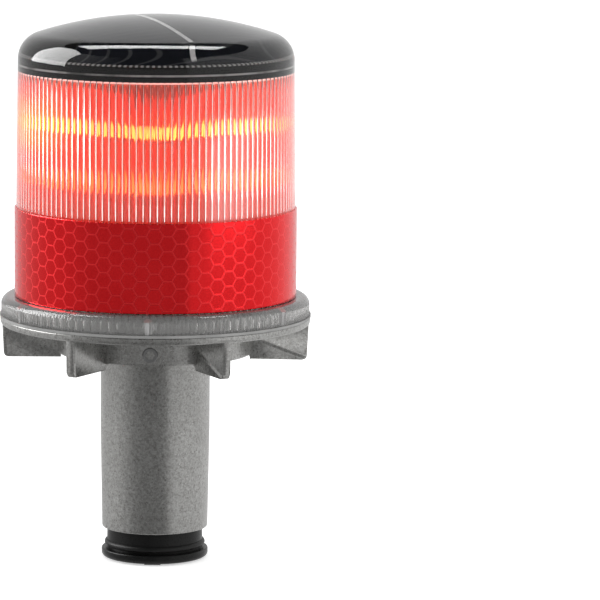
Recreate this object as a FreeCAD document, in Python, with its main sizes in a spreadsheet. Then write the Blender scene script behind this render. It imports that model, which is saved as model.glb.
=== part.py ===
import FreeCAD, Part
import math
import os
import re

import Sketcher

# Barricade warning light: a cast base whose hollow stem holds one D-size cell, a red
# fluted drum under a clear lens, and a solar panel potted under the dome.
# Origin: on the axis, level with the pads under the battery cap.  +Z runs up the stem.
# Millimetres.

# Driving dimensions.  "level" is a height above the foot, "radius" is from the stem's axis.
SIZES = {
    # battery cap, bottom to top
    "foot_height": 0.6,
    "foot_circle": 15.0,
    "foot_length": 4.0,
    "foot_width": 6.0,
    "foot_count": 4,
    "rim_radius": 19.9,
    "rim_level": 3.8,
    "groove_radius": 17.2,
    "bead_radius": 18.8,
    "bead_level": 6.9,
    "bead_height": 2.2,
    "neck_radius": 17.85,
    "core_radius": 16.9,
    "cap_top_level": 21.3,
    "cup_radius": 12.8,
    "cap_floor": 2.9,
    "thread_crest": 17.65,
    "thread_pitch": 3.0,
    # cell
    "cell_radius": 16.6,
    "cell_level": 21.6,
    "cell_length": 60.5,
    "button_radius": 4.9,
    "button_height": 1.5,
    # stem and casting
    "stem_radius": 20.4,
    "stem_end_radius": 19.75,
    "stem_end_level": 11.7,
    "stem_straight_level": 50.0,
    "stem_root_radius": 20.7,
    "stem_root_level": 75.0,
    "stem_bore": 17.3,
    "mouth_bore": 17.95,
    "mouth_depth": 14.0,
    "collar_radius": 36.3,
    "collar_bore": 32.8,
    "collar_level": 77.9,
    "flange_radius": 57.7,
    "flange_level": 88.8,
    "flange_top": 91.5,
    "lug_radius": 56.5,
    "lug_level": 75.5,
    "lug_thickness": 3.2,
    "lug_round": 1.6,
    "lug_count": 6,
    "boss_circle": 38.0,
    "boss_radius": 3.2,
    "boss_count": 3,
    # lens and gasket
    "gasket_radius": 57.9,
    "gasket_thickness": 1.0,
    "ring_radius": 57.4,
    "ring_shoulder": 3.0,
    "ring_top": 99.3,
    "drum_radius": 51.8,
    "shell_radius": 51.2,
    "lens_wall": 2.6,
    "lens_split": 132.3,
    "dome_radius": 145.0,
    "corner_radius": 10.0,
    "lens_top": 203.7,
    "band_thickness": 0.6,
    "glue_line": 0.05,
    # inside the lens
    "board_level": 97.0,
    "board_radius": 48.4,
    "board_thickness": 1.6,
    "colour_radius": 48.3,
    "colour_wall": 1.6,
    "tray_level": 182.8,
    "tray_radius": 48.2,
    "tray_wall": 2.0,
    "tray_rim": 188.6,
    "panel_radius": 45.9,
    "wafer_side": 62.0,
    "wafer_thickness": 0.3,
    "busbar_width": 1.6,
    "lower_led_level": 143.5,
    "upper_led_level": 165.0,
    "led_radius": 2.5,
    "led_reach": 34.5,
    "led_count": 12,
    "ring_board_radius": 33.0,
    "column_radius": 10.0,
    "column_bore": 5.0,
    # fasteners, switch and wires
    "screw_circle": 54.0,
    "screw_radius": 1.45,
    "screw_head": 2.7,
    "screw_head_height": 1.7,
    "screw_clearance": 0.05,
    "lock_radius": 2.9,
    "lock_level": 82.0,
    "lock_length": 8.4,
    "switch_offset": 42.5,
    "switch_width": 15.0,
    "switch_depth": 6.4,
    "switch_height": 4.4,
    "lever_width": 3.6,
    "lever_level": 84.0,
    "lever_travel": 2.0,
    "wire_radius": 0.7,
    "spring_radius": 8.5,
    "spring_wire": 0.6,
    "spring_pitch": 3.3,
}

MID_LUG = 30.0          # degrees from a lug to the middle of the gap beside it
WAFER_TURN = 26.4       # degrees from +X to the wafer's fingers

doc = FreeCAD.newDocument("BarricadeLight")
pieces = []


# ---------------------------------------------------------------- sheet and helpers

def make_sheet():
    """Write the driving dimensions into the sheet, one aliased cell each."""
    sheet = doc.addObject("Spreadsheet::Sheet", "Sizes")
    for row, (name, number) in enumerate(SIZES.items(), start=1):
        sheet.set("A%d" % row, name)
        sheet.set("B%d" % row, str(number))
        sheet.setAlias("B%d" % row, name)
    doc.recompute()
    return sheet


def bound(expression):
    """The expression with every dimension's name pointing at the sheet."""
    def point_at_sheet(word):
        return "Sizes." + word.group() if word.group() in SIZES else word.group()
    return re.sub(r"[a-z][a-z_]+", point_at_sheet, expression)


def number(expression):
    """The present value of an expression of the sheet's dimensions."""
    return float(sheet.evalExpression(bound(expression)))


def new_body(label):
    body = doc.addObject("PartDesign::Body", label)
    body.Label = label
    body.AllowCompound = True
    pieces.append(body)
    return body


def origin_item(body, role):
    return next(item for item in body.Origin.OriginFeatures if item.Role == role)


def new_sketch(body, plane, offset=None):
    """A sketch on one of the body's own planes, moved along its normal by offset."""
    sketch = body.newObject("Sketcher::SketchObject", body.Label + "_sketch")
    sketch.AttachmentSupport = [(origin_item(body, plane), "")]
    sketch.MapMode = "FlatFace"
    if offset:
        sketch.setExpression("AttachmentOffset.Base.z", bound(offset))
        doc.recompute()
    return sketch


def hold(sketch, kind, *item_and_size):
    """Add a constraint whose size is an expression of the sheet."""
    *item, size = item_and_size
    index = sketch.addConstraint(Sketcher.Constraint(kind, *item, number(size)))
    sketch.setExpression("Constraints[%d]" % index, bound(size))


def hold_point(sketch, geometry, end, across, up):
    hold(sketch, "DistanceX", -1, 1, geometry, end, across)
    hold(sketch, "DistanceY", -1, 1, geometry, end, up)


def arc_between(start, end, radius, side):
    """The short arc from start to end, its centre on the left (side 1) or right (side -1)."""
    chord = end - start
    left = FreeCAD.Vector(-chord.y, chord.x, 0).normalize()
    depth = math.sqrt(max(radius ** 2 - (chord.Length / 2) ** 2, 0))
    centre = (start + end) / 2 + left * (side * depth)
    first, last = (start, end) if side > 0 else (end, start)
    from_angle = math.atan2(first.y - centre.y, first.x - centre.x)
    to_angle = math.atan2(last.y - centre.y, last.x - centre.x)
    circle = Part.Circle(centre, FreeCAD.Vector(0, 0, 1), radius)
    return Part.ArcOfCircle(circle, from_angle, to_angle)


def draw(sketch, corners, closed=True):
    """Draw an outline whose corners are expressions of the sheet.

    A corner is (across, up), or (across, up, radius, side) where the side that
    arrives at it is an arc: side 1 is an outward round of an outline drawn
    anticlockwise, side -1 an inward one.
    """
    places = [FreeCAD.Vector(number(corner[0]), number(corner[1]), 0) for corner in corners]
    first_leg = 0 if closed else 1
    ends = {}
    for leg in range(first_leg, len(corners)):
        start, end = places[leg - 1], places[leg]
        corner = corners[leg]
        if len(corner) == 2:
            index = sketch.addGeometry(Part.LineSegment(start, end), False)
            ends[leg] = (index, 1, 2)
        else:
            arc = arc_between(start, end, number(corner[2]), corner[3])
            index = sketch.addGeometry(arc, False)
            ends[leg] = (index, 1, 2) if corner[3] > 0 else (index, 2, 1)
            hold(sketch, "Radius", index, corner[2])
    for leg, (index, _, far_end) in ends.items():
        hold_point(sketch, index, far_end, corners[leg][0], corners[leg][1])
        following = leg + 1 if leg + 1 < len(corners) else 0
        if following in ends:
            after, after_start, _ = ends[following]
            join = Sketcher.Constraint("Coincident", index, far_end, after, after_start)
            sketch.addConstraint(join)
    if not closed:
        index, start_end, _ = ends[first_leg]
        hold_point(sketch, index, start_end, corners[0][0], corners[0][1])


def draw_circle(sketch, across, up, radius):
    centre = FreeCAD.Vector(number(across), number(up), 0)
    circle = Part.Circle(centre, FreeCAD.Vector(0, 0, 1), number(radius))
    index = sketch.addGeometry(circle, False)
    hold(sketch, "Radius", index, radius)
    hold_point(sketch, index, 3, across, up)


def draw_box(sketch, left, right, low, high):
    draw(sketch, [(left, low), (right, low), (right, high), (left, high)])


def turn(body, corners, axis=None):
    """Revolve an outline drawn across by up about +Z or about a given line."""
    sketch = new_sketch(body, "XZ_Plane")
    draw(sketch, corners)
    if axis:
        places = [FreeCAD.Vector(number(across), number(up), 0) for across, up in axis]
        index = sketch.addGeometry(Part.LineSegment(*places), True)
        hold_point(sketch, index, 1, *axis[0])
        hold_point(sketch, index, 2, *axis[1])
    feature = body.newObject("PartDesign::Revolution", body.Label + "_turn")
    feature.Profile = sketch
    feature.ReferenceAxis = (sketch, ["Axis0" if axis else "V_Axis"])
    feature.Angle = 360
    return feature


def pad(body, sketch, length, symmetric=False):
    feature = body.newObject("PartDesign::Pad", body.Label + "_pad")
    feature.Profile = sketch
    feature.SideType = "Symmetric" if symmetric else "One side"
    feature.setExpression("Length", bound(length))
    return feature


def pocket(body, sketch, length, along_normal):
    """Cut a sketch into the body and make sure that it took something away."""
    doc.recompute()
    before = body.Shape.Volume
    feature = body.newObject("PartDesign::Pocket", body.Label + "_pocket")
    feature.Profile = sketch
    feature.Reversed = along_normal
    feature.setExpression("Length", bound(length))
    doc.recompute()
    if feature.Shape.Volume > before - 0.1:
        raise RuntimeError("%s: the pocket cuts nothing" % body.Label)
    return feature


def around(body, feature, count):
    """Repeat a feature evenly round +Z."""
    pattern = body.newObject("PartDesign::PolarPattern", body.Label + "_pattern")
    pattern.Originals = [feature]
    pattern.Axis = (origin_item(body, "Z_Axis"), [""])
    pattern.Angle = 360
    pattern.setExpression("Occurrences", bound(count))
    body.Tip = pattern
    return pattern


def spin(body, degrees):
    """Turn a whole piece about +Z."""
    body.Placement = FreeCAD.Placement(
        FreeCAD.Vector(), FreeCAD.Rotation(FreeCAD.Vector(0, 0, 1), degrees))


def ring(label, inner, outer, low, high):
    """A plain washer, tube or disc between two radii and two levels."""
    body = new_body(label)
    turn(body, [(inner, low), (outer, low), (outer, high), (inner, high)])
    return body


def dome_corner(inset):
    """Where the dome's sphere meets its corner arc, and the arc's end on the wall."""
    reach = "(shell_radius - corner_radius)"
    slant = "(dome_radius - corner_radius)"
    rise = "sqrt(%s^2 - %s^2)" % (slant, reach)
    sphere_level = "(lens_top - dome_radius)"
    across = "(dome_radius - %s) * %s / %s" % (inset, reach, slant)
    up = "%s + (dome_radius - %s) * %s / %s" % (sphere_level, inset, rise, slant)
    corner_level = "%s + %s" % (sphere_level, rise)
    return across, up, corner_level


# ---------------------------------------------------------------- casting and lens

def make_base_casting():
    """Flange, collar and stem in one turned section, with six radial lugs."""
    body = new_body("base_casting")
    turn(body, [
        ("mouth_bore", "stem_end_level"),
        ("stem_end_radius - 1.2", "stem_end_level"),
        ("stem_end_radius", "stem_end_level + 1.2", "1.2", 1),
        ("stem_radius", "stem_straight_level"),
        ("stem_radius", "stem_root_level"),
        ("stem_root_radius", "stem_root_level + 0.3"),
        ("stem_root_radius", "flange_level"),
        ("collar_bore", "flange_level"),
        ("collar_bore", "collar_level"),
        ("collar_radius", "collar_level"),
        ("collar_radius", "flange_level"),
        ("flange_radius - 1.2", "flange_level"),
        ("flange_radius", "flange_level + 1.2", "1.2", 1),
        ("flange_radius", "flange_top"),
        ("stem_bore", "flange_top"),
        ("stem_bore", "stem_end_level + mouth_depth"),
        ("mouth_bore", "stem_end_level + mouth_depth - 0.8"),
    ])
    lug = new_sketch(body, "XZ_Plane")
    draw(lug, [
        ("stem_radius - 0.5", "collar_level"),
        ("collar_radius - 0.5", "collar_level"),
        ("collar_radius - 0.5", "lug_level"),
        ("lug_radius - lug_round", "lug_level"),
        ("lug_radius", "lug_level + lug_round", "lug_round", 1),
        ("flange_radius - 0.4", "flange_level + 1.6"),
        ("stem_radius - 0.5", "flange_level + 1.6"),
    ])
    around(body, pad(body, lug, "lug_thickness", symmetric=True), "lug_count")
    boss = new_sketch(body, "XY_Plane", offset="flange_top - 0.5")
    draw_circle(boss, "0", "-boss_circle", "boss_radius")
    around(body, pad(body, boss, "board_level - flange_top + 0.5"), "boss_count")
    cut_casting_holes(body)


def cut_casting_holes(body):
    """Screw pilots in the bosses, lens screws, the lock screw's thread and the lever's slot."""
    pilot = new_sketch(body, "XY_Plane", offset="board_level")
    draw_circle(pilot, "0", "-boss_circle", "screw_radius + screw_clearance")
    around(body, pocket(body, pilot, "board_level - flange_top + 2", False), "boss_count")
    through = new_sketch(body, "XY_Plane", offset="flange_level - 1")
    draw_circle(through, "0", "-screw_circle", "screw_radius + screw_clearance")
    around(body, pocket(body, through, "6", True), "lug_count")
    recess = new_sketch(body, "XY_Plane", offset="flange_level - 1")
    draw_circle(recess, "0", "-screw_circle", "screw_head + 0.15")
    depth = "1 + screw_head_height + screw_clearance"
    around(body, pocket(body, recess, depth, True), "lug_count")
    thread = new_sketch(body, "XZ_Plane", offset="collar_bore - 4")
    draw_circle(thread, "0", "lock_level", "lock_radius + screw_clearance")
    pocket(body, thread, "12", True)
    slot = new_sketch(body, "XY_Plane", offset="flange_level - 1")
    half_slot = "(lever_width / 2 + lever_travel + 0.5)"
    draw_box(slot, "-" + half_slot, half_slot, "switch_offset - lever_width / 2 - 0.4",
             "switch_offset + lever_width / 2 + 0.4")
    pocket(body, slot, "6", True)


def make_lens_gasket():
    body = ring("lens_gasket", "drum_radius - lens_wall", "gasket_radius",
                "flange_top", "flange_top + gasket_thickness")
    holes = new_sketch(body, "XY_Plane", offset="flange_top - 1")
    draw_circle(holes, "0", "-screw_circle", "screw_radius + screw_clearance")
    around(body, pocket(body, holes, "4", True), "lug_count")


def make_clear_lens():
    """Dome, drum and clamping ring moulded as one clear shell."""
    body = new_body("clear_lens")
    across, up, corner_level = dome_corner("0")
    inner_across, inner_up, corner_level = dome_corner("lens_wall")
    foot = "flange_top + gasket_thickness"
    turn(body, [
        ("drum_radius - lens_wall", foot),
        ("ring_radius", foot),
        ("ring_radius", "ring_top - ring_shoulder"),
        ("ring_radius - ring_shoulder", "ring_top", "ring_shoulder", 1),
        ("drum_radius", "ring_top"),
        ("drum_radius", "lens_split"),
        ("shell_radius", corner_level),
        (across, up, "corner_radius", 1),
        ("0", "lens_top", "dome_radius", 1),
        ("0", "lens_top - lens_wall"),
        (inner_across, inner_up, "dome_radius - lens_wall", -1),
        ("shell_radius - lens_wall", corner_level, "corner_radius - lens_wall", -1),
        ("drum_radius - lens_wall", "lens_split"),
    ])
    holes = new_sketch(body, "XY_Plane", offset=foot)
    draw_circle(holes, "0", "-screw_circle", "screw_radius + screw_clearance")
    around(body, pocket(body, holes, "4.6", True), "lug_count")


def make_reflective_band():
    ring("reflective_band", "drum_radius + glue_line",
         "drum_radius + glue_line + band_thickness", "ring_top + 0.2", "lens_split")


def make_base_screws():
    """Six cheese-head screws from below the flange up into the lens's ring."""
    body = new_body("base_screws")
    low = "(flange_level + screw_clearance)"
    seat = low + " + screw_head_height - screw_clearance"
    tip = "flange_top + gasket_thickness + 4.4"
    centre = "screw_circle"
    screw = turn(body, [
        (centre, low),
        (centre + " + screw_head", low),
        (centre + " + screw_head", seat),
        (centre + " + screw_radius", seat),
        (centre + " + screw_radius", tip),
        (centre, tip),
    ], axis=[(centre, low), (centre, tip)])
    around(body, screw, "lug_count")
    spin(body, MID_LUG)


# ---------------------------------------------------------------- solar dome

def make_solar_tray():
    """Black dish that carries the panel and closes the colour drum."""
    body = new_body("solar_tray")
    turn(body, [
        ("0", "tray_level"),
        ("tray_radius", "tray_level"),
        ("tray_radius", "tray_rim"),
        ("tray_radius - tray_wall", "tray_rim"),
        ("tray_radius - tray_wall", "tray_level + tray_wall"),
        ("0", "tray_level + tray_wall"),
    ])
    holes = new_sketch(body, "XY_Plane", offset="tray_level - 1")
    draw_circle(holes, "boss_circle", "0", "wire_radius + 0.3")
    around(body, pocket(body, holes, "6", True), "2")


def make_solar_panel():
    level = "tray_level + tray_wall"
    ring("solar_panel", "0", "panel_radius", level, level + " + board_thickness")


def make_solar_cell():
    """One square wafer, turned a little from the lugs."""
    body = new_body("solar_cell")
    sketch = new_sketch(body, "XY_Plane", offset="tray_level + tray_wall + board_thickness")
    half = "wafer_side / 2"
    draw_box(sketch, "-" + half, half, "-" + half, half)
    pad(body, sketch, "wafer_thickness")
    spin(body, WAFER_TURN)


def make_cell_busbar():
    """Tinned ribbon across the middle of the wafer."""
    body = new_body("cell_busbar")
    level = "tray_level + tray_wall + board_thickness + wafer_thickness"
    sketch = new_sketch(body, "XY_Plane", offset=level)
    draw_box(sketch, "-busbar_width / 2", "busbar_width / 2",
             "1.5 - wafer_side / 2", "wafer_side / 2 - 1.5")
    pad(body, sketch, "0.1")
    spin(body, WAFER_TURN)


def make_dome_potting():
    """Clear resin that fills the space between the panel and the dome."""
    body = new_body("dome_potting")
    inset = "(lens_wall + glue_line)"
    across, up, corner_level = dome_corner(inset)
    low = "tray_level + tray_wall + board_thickness + wafer_thickness + 0.15"
    rim = "(tray_rim + glue_line)"
    drop = "(%s - (%s))" % (rim, corner_level)
    corner = "(corner_radius - %s)" % inset
    edge = "shell_radius - corner_radius + sqrt(%s^2 - %s^2)" % (corner, drop)
    inside = "tray_radius - tray_wall - glue_line"
    turn(body, [
        ("0", low),
        (inside, low),
        (inside, rim),
        (edge, rim),
        (across, up, corner, 1),
        ("0", "lens_top - %s" % inset, "dome_radius - %s" % inset, 1),
    ])


# ---------------------------------------------------------------- light engine

def make_colour_drum():
    ring("colour_drum", "colour_radius - colour_wall", "colour_radius",
         "board_level + board_thickness", "tray_level")


def make_control_board():
    body = ring("control_board", "3", "board_radius", "board_level",
                "board_level + board_thickness")
    holes = new_sketch(body, "XY_Plane", offset="board_level - 1")
    draw_circle(holes, "0", "-boss_circle", "screw_radius + 0.2")
    around(body, pocket(body, holes, "4", True), "boss_count")


def make_board_screws():
    body = new_body("board_screws")
    top = "board_level + board_thickness"
    tip = "flange_top + 1"
    centre = "boss_circle"
    screw = turn(body, [
        (centre, tip),
        (centre + " + screw_radius", tip),
        (centre + " + screw_radius", top),
        (centre + " + screw_head", top),
        (centre + " + screw_head", top + " + screw_head_height"),
        (centre, top + " + screw_head_height"),
    ], axis=[(centre, tip), (centre, top)])
    around(body, screw, "boss_count")
    spin(body, -90)


def make_board_parts():
    """Driver chip, coil and capacitor on the control board."""
    top = "board_level + board_thickness"
    chip = new_body("driver_chip")
    sketch = new_sketch(chip, "XY_Plane", offset=top)
    draw_box(sketch, "22", "34", "-5", "5")
    pad(chip, sketch, "2")
    for label, across, up, radius, height in (
            ("charge_coil", "-14", "26", "6", "7"),
            ("smoothing_capacitor", "14", "28", "5", "14")):
        body = new_body(label)
        sketch = new_sketch(body, "XY_Plane", offset=top)
        draw_circle(sketch, across, up, radius)
        pad(body, sketch, height)


def led_board_top(level):
    return level + " - led_radius - glue_line"


def make_led_column():
    """Moulded post with a step for each ring board."""
    body = new_body("led_column")
    base = "board_level + board_thickness"
    lower_seat = led_board_top("lower_led_level") + " - board_thickness"
    upper_seat = led_board_top("upper_led_level") + " - board_thickness"
    turn(body, [
        ("column_bore", base),
        ("column_radius + 6", base),
        ("column_radius + 6", base + " + 2"),
        ("column_radius", base + " + 2"),
        ("column_radius", lower_seat),
        ("column_radius - 1", lower_seat),
        ("column_radius - 1", upper_seat),
        ("column_radius - 2", upper_seat),
        ("column_radius - 2", "upper_led_level + 8"),
        ("column_bore", "upper_led_level + 8"),
    ])


def make_led_ring(label, level, column):
    """One ring board and the LEDs that point outwards from it."""
    top = led_board_top(level)
    ring(label + "_led_board", column + " + glue_line", "ring_board_radius",
         top + " - board_thickness", top)
    body = new_body(label + "_leds")
    tail = "led_reach - 9"
    nose = "led_reach - led_radius"
    led = turn(body, [
        (tail, level),
        (nose + " + led_radius", level),
        (nose, level + " + led_radius", "led_radius", 1),
        (tail, level + " + led_radius"),
    ], axis=[(tail, level), (nose, level)])
    around(body, led, "led_count")


# ---------------------------------------------------------------- battery side

def make_battery_cell():
    body = new_body("battery_cell")
    shoulder = "cell_level + cell_length - button_height"
    turn(body, [
        ("0", "cell_level"),
        ("cell_radius - 0.8", "cell_level"),
        ("cell_radius", "cell_level + 0.8", "0.8", 1),
        ("cell_radius", shoulder + " - 1"),
        ("cell_radius - 1", shoulder, "1", 1),
        ("0", shoulder),
    ])
    ring("cell_button", "0", "button_radius", shoulder, shoulder + " + button_height")


def make_contact_holder():
    """Insulating plug in the top of the stem's bore, around the top contact."""
    body = new_body("contact_holder")
    low = "cell_level + cell_length + 2"
    turn(body, [
        ("1.55", low),
        ("stem_bore - 0.05", low),
        ("stem_bore - 0.05", "flange_top"),
        ("stem_bore + 2.2", "flange_top"),
        ("stem_bore + 2.2", "flange_top + 1.6"),
        ("1.55", "flange_top + 1.6"),
    ])


def make_top_contact():
    """Brass rivet that meets the cell's button."""
    body = new_body("top_contact")
    low = "cell_level + cell_length + 0.1"
    turn(body, [
        ("0", low),
        ("4.5", low),
        ("4.5", "cell_level + cell_length + 2"),
        ("1.5", "cell_level + cell_length + 2"),
        ("1.5", "flange_top + 1.6"),
        ("3", "flange_top + 1.6"),
        ("3", "flange_top + 2.6"),
        ("0", "flange_top + 2.6"),
    ])


def make_battery_cap():
    """Screw cap: rim, seal groove, neck, and a threaded cup that goes up the stem."""
    body = new_body("battery_cap")
    bead_low = "bead_level - bead_height"
    turn(body, [
        ("0", "foot_height"),
        ("rim_radius - 1.3", "foot_height"),
        ("rim_radius", "foot_height + 1.3", "1.3", 1),
        ("rim_radius", "rim_level - 0.5"),
        ("rim_radius - 0.5", "rim_level", "0.5", 1),
        ("groove_radius", "rim_level"),
        ("groove_radius", bead_low),
        ("core_radius", bead_low),
        ("core_radius", "bead_level"),
        ("neck_radius", "bead_level"),
        ("neck_radius", "stem_end_level + 0.4"),
        ("core_radius", "stem_end_level + 1"),
        ("core_radius", "cap_top_level - 0.6"),
        ("core_radius - 0.6", "cap_top_level"),
        ("cup_radius", "cap_top_level"),
        ("cup_radius", "cap_floor"),
        ("0", "cap_floor"),
    ])
    ridge = new_sketch(body, "XZ_Plane")
    start = "stem_end_level + 1.1"
    draw(ridge, [
        ("core_radius - 0.3", start),
        ("thread_crest", start + " + 0.5"),
        ("thread_crest", start + " + 1"),
        ("core_radius - 0.3", start + " + 1.5"),
    ])
    helix = body.newObject("PartDesign::AdditiveHelix", "cap_thread")
    helix.Profile = ridge
    helix.ReferenceAxis = (ridge, ["V_Axis"])
    helix.Mode = "pitch-height-angle"
    helix.setExpression("Pitch", bound("thread_pitch"))
    helix.setExpression("Height", bound("thread_pitch * 2"))


def make_cap_feet():
    """Four small pads under the cap, to grip it by and to stand on."""
    body = new_body("cap_feet")
    sketch = new_sketch(body, "XY_Plane")
    draw_box(sketch, "foot_circle - foot_length / 2", "foot_circle + foot_length / 2",
             "-foot_width / 2", "foot_width / 2")
    around(body, pad(body, sketch, "foot_height"), "foot_count")


def make_cap_seal():
    """Rubber ring in the cap's groove, rounded outside."""
    body = new_body("cap_seal")
    low = "bead_level - bead_height"
    flat = "bead_radius - bead_height / 2"
    turn(body, [
        ("core_radius", low),
        (flat, low),
        ("bead_radius", low + " + bead_height / 2", "bead_height / 2", 1),
        (flat, "bead_level", "bead_height / 2", 1),
        ("core_radius", "bead_level"),
    ])


def make_cap_contact():
    ring("cap_contact", "0", "cup_radius - 0.4", "cap_floor", "cap_floor + 0.6")


def make_cap_spring():
    """Open coil between the cap's contact plate and the bottom of the cell."""
    body = new_body("cap_spring")
    low = "cap_floor + 0.6 + spring_wire"
    sketch = new_sketch(body, "XZ_Plane")
    draw_circle(sketch, "spring_radius", low, "spring_wire")
    helix = body.newObject("PartDesign::AdditiveHelix", "spring_coil")
    helix.Profile = sketch
    helix.ReferenceAxis = (sketch, ["V_Axis"])
    helix.Mode = "pitch-height-angle"
    helix.setExpression("Pitch", bound("spring_pitch"))
    helix.setExpression("Height", bound("cell_level - cap_floor - 0.7 - 2 * spring_wire"))


# ---------------------------------------------------------------- switch, lock and wires

def make_mode_switch():
    """Slide switch on top of the flange, its lever reaching down through the slot."""
    body = new_body("mode_switch")
    low = "(flange_top + 0.4)"
    half = "(switch_width / 2)"
    half_race = "(lever_width / 2 + lever_travel + 0.5)"
    near = "switch_offset - switch_depth / 2"
    far = "switch_offset + switch_depth / 2"
    case = new_sketch(body, "XY_Plane", offset=low)
    draw_box(case, "-" + half, half, near, far)
    pad(body, case, "switch_height")
    race = new_sketch(body, "XY_Plane", offset=low)
    draw_box(race, "-" + half_race, half_race, "switch_offset - lever_width / 2 - 0.4",
             "switch_offset + lever_width / 2 + 0.4")
    pocket(body, race, "2.6", True)
    feet = new_sketch(body, "XY_Plane", offset="flange_top")
    draw_box(feet, half_race + " + 0.3", half, near, far)
    draw_box(feet, "-" + half, "-" + half_race + " - 0.3", near, far)
    pad(body, feet, "0.5")


def make_switch_lever():
    body = new_body("switch_lever")
    sketch = new_sketch(body, "XY_Plane", offset="lever_level")
    half = "lever_width / 2"
    draw_box(sketch, "-" + half, half, "switch_offset - " + half, "switch_offset + " + half)
    pad(body, sketch, "flange_top + 2.6 - lever_level")


def make_lock_screw():
    """Grub screw with a dog point, flush with the collar, that holds the bracket's crown."""
    body = new_body("lock_screw")
    face = "-collar_radius - 0.3"
    tip = face + " + lock_length"
    sketch = new_sketch(body, "YZ_Plane")
    draw(sketch, [
        (face, "lock_level"),
        (tip, "lock_level"),
        (tip, "lock_level + 1.9"),
        (tip + " - 2.5", "lock_level + 1.9"),
        (tip + " - 2.5", "lock_level + lock_radius"),
        (face + " + 0.4", "lock_level + lock_radius"),
        (face, "lock_level + lock_radius - 0.4"),
    ])
    axis = sketch.addGeometry(
        Part.LineSegment(FreeCAD.Vector(number(face), number("lock_level"), 0),
                         FreeCAD.Vector(number(tip), number("lock_level"), 0)), True)
    hold_point(sketch, axis, 1, face, "lock_level")
    hold_point(sketch, axis, 2, tip, "lock_level")
    feature = body.newObject("PartDesign::Revolution", "lock_turn")
    feature.Profile = sketch
    feature.ReferenceAxis = (sketch, ["Axis0"])
    feature.Angle = 360
    socket = new_sketch(body, "XZ_Plane", offset="collar_radius + 0.3")
    draw(socket, [(("1.75 * cos(%d)" % (60 * k)), "lock_level + 1.75 * sin(%d)" % (60 * k))
                  for k in range(6)])
    pocket(body, socket, "3", False)


def pipe(label, route, plane="XZ_Plane"):
    """A wire of the sheet's radius along straight runs and arcs that start going up."""
    body = new_body(label)
    path = new_sketch(body, plane)
    draw(path, route, closed=False)
    section = new_sketch(body, "XY_Plane", offset=route[0][1])
    across = (route[0][0], "0") if plane == "XZ_Plane" else ("0", route[0][0])
    draw_circle(section, across[0], across[1], "wire_radius")
    feature = body.newObject("PartDesign::AdditivePipe", label + "_run")
    feature.Profile = section
    feature.Spine = (path, ["Edge%d" % (leg + 1) for leg in range(len(route) - 1)])
    return body, feature


def make_battery_leads():
    """One lead from the rivet and one from the flange, each up to the board's underside."""
    low = "flange_top + 2.6"
    bend = "1.2"
    pipe("positive_lead", [
        ("0", low),
        ("0", low + " + 0.4"),
        (bend, low + " + 0.4 + " + bend, bend, -1),
        ("14", low + " + 0.4 + " + bend),
        ("14 + " + bend, low + " + 0.4 + 2 * " + bend, bend, 1),
        ("14 + " + bend, "board_level"),
    ])
    pipe("negative_lead", [("26", "flange_top"), ("26", "board_level")])


def make_solar_leads():
    """Two leads from the panel straight down the inside of the colour drum."""
    body, lead = pipe("solar_leads", [
        ("boss_circle", "board_level + board_thickness"),
        ("boss_circle", "tray_level + tray_wall"),
    ])
    around(body, lead, "2")


# ---------------------------------------------------------------- build and write

def make_all():
    make_base_casting()
    make_lens_gasket()
    make_clear_lens()
    make_reflective_band()
    make_base_screws()
    make_solar_tray()
    make_solar_panel()
    make_solar_cell()
    make_cell_busbar()
    make_dome_potting()
    make_colour_drum()
    make_control_board()
    make_board_screws()
    make_board_parts()
    make_led_column()
    make_led_ring("lower", "lower_led_level", "column_radius - 1")
    make_led_ring("upper", "upper_led_level", "column_radius - 2")
    make_battery_cell()
    make_contact_holder()
    make_top_contact()
    make_battery_cap()
    make_cap_feet()
    make_cap_seal()
    make_cap_contact()
    make_cap_spring()
    make_mode_switch()
    make_switch_lever()
    make_lock_screw()
    make_battery_leads()
    make_solar_leads()


def check_all():
    """Stop on any failed object or any piece without a valid solid."""
    doc.recompute()
    for item in doc.Objects:
        if "Invalid" in item.State or "Error" in item.State:
            raise RuntimeError("%s did not compute: %s" % (item.Label, item.State))
    for piece in pieces:
        if piece.Shape.isNull() or not piece.Shape.isValid() or not piece.Shape.Solids:
            raise RuntimeError("%s has no valid solid" % piece.Label)


def write_all():
    os.makedirs("parts", exist_ok=True)
    for piece in pieces:
        piece.Shape.exportStep("parts/%s.step" % piece.Label)
        print("%-22s %2d solid(s) %10.1f mm3" % (
            piece.Label, len(piece.Shape.Solids), piece.Shape.Volume))


sheet = make_sheet()
make_all()
check_all()
write_all()
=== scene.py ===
import math

import bmesh
import bpy
from mathutils import Matrix, Vector


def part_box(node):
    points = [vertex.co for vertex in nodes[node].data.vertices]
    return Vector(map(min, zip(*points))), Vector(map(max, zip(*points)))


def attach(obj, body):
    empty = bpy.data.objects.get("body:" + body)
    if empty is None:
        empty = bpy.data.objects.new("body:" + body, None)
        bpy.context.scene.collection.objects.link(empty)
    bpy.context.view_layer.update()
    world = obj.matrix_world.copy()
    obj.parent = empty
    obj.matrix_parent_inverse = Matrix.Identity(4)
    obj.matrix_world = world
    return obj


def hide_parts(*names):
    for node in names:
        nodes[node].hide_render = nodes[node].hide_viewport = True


# Barricade warning light.  Metres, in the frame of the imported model: +Z up the stem,
# -Y through the lock screw, origin on the axis, level with the pads under the battery cap.

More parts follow.
